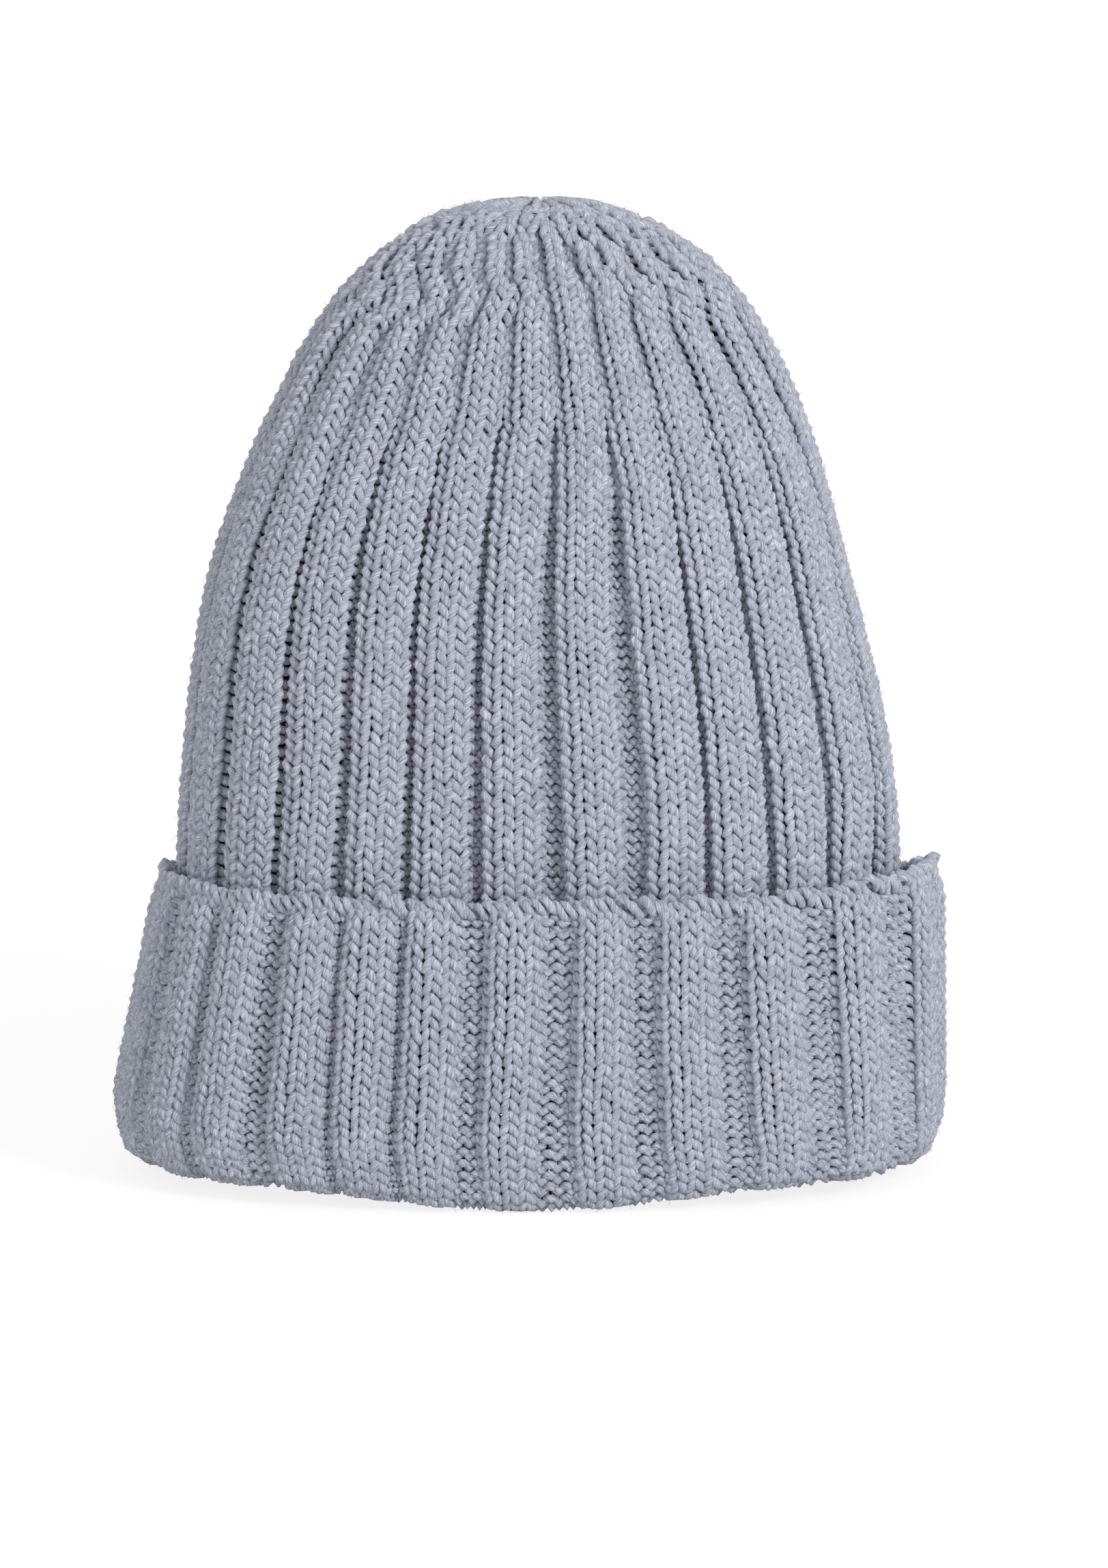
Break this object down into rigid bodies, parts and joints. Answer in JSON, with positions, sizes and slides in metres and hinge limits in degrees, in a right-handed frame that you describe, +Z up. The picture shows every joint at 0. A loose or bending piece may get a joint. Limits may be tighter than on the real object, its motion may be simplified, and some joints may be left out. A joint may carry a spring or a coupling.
{
  "type": "knit beanie",
  "caption": "Ribbed knit hat with a turned-up cuff, a crown drawn to a point, and an open inside for a head.",
  "frame": {"origin": "on the floor plane, under the middle of the fold of the cuff", "axes": "+Z up from the fold to the crown, front towards -Y, +X to the wearer's left"},
  "size_m": [0.2104, 0.1202, 0.2445],
  "materials": {
    "rib_knit": "heathered wool and acrylic yarn, three by three rib",
    "sewing_yarn": "the same yarn, sewn and drawn tight"
  },
  "bodies": {
    "cuff": {"cuff_fold": "rib_knit", "turned_up_cuff": "rib_knit", "cast_on_edge": "rib_knit", "inner_band": "rib_knit", "cuff_seam": "sewing_yarn"},
    "hat_body": {"body_tube": "rib_knit", "crown": "rib_knit", "crown_gather": "rib_knit", "body_seam": "sewing_yarn", "gather_yarn": "sewing_yarn", "gather_knot": "sewing_yarn"}
  },
  "joints": [
    {"name": "cuff_turn_down", "type": "slide", "parent": "cuff", "child": "hat_body", "axis": [0, 0, 1], "range_m": [0, 0.03]}
  ]
}
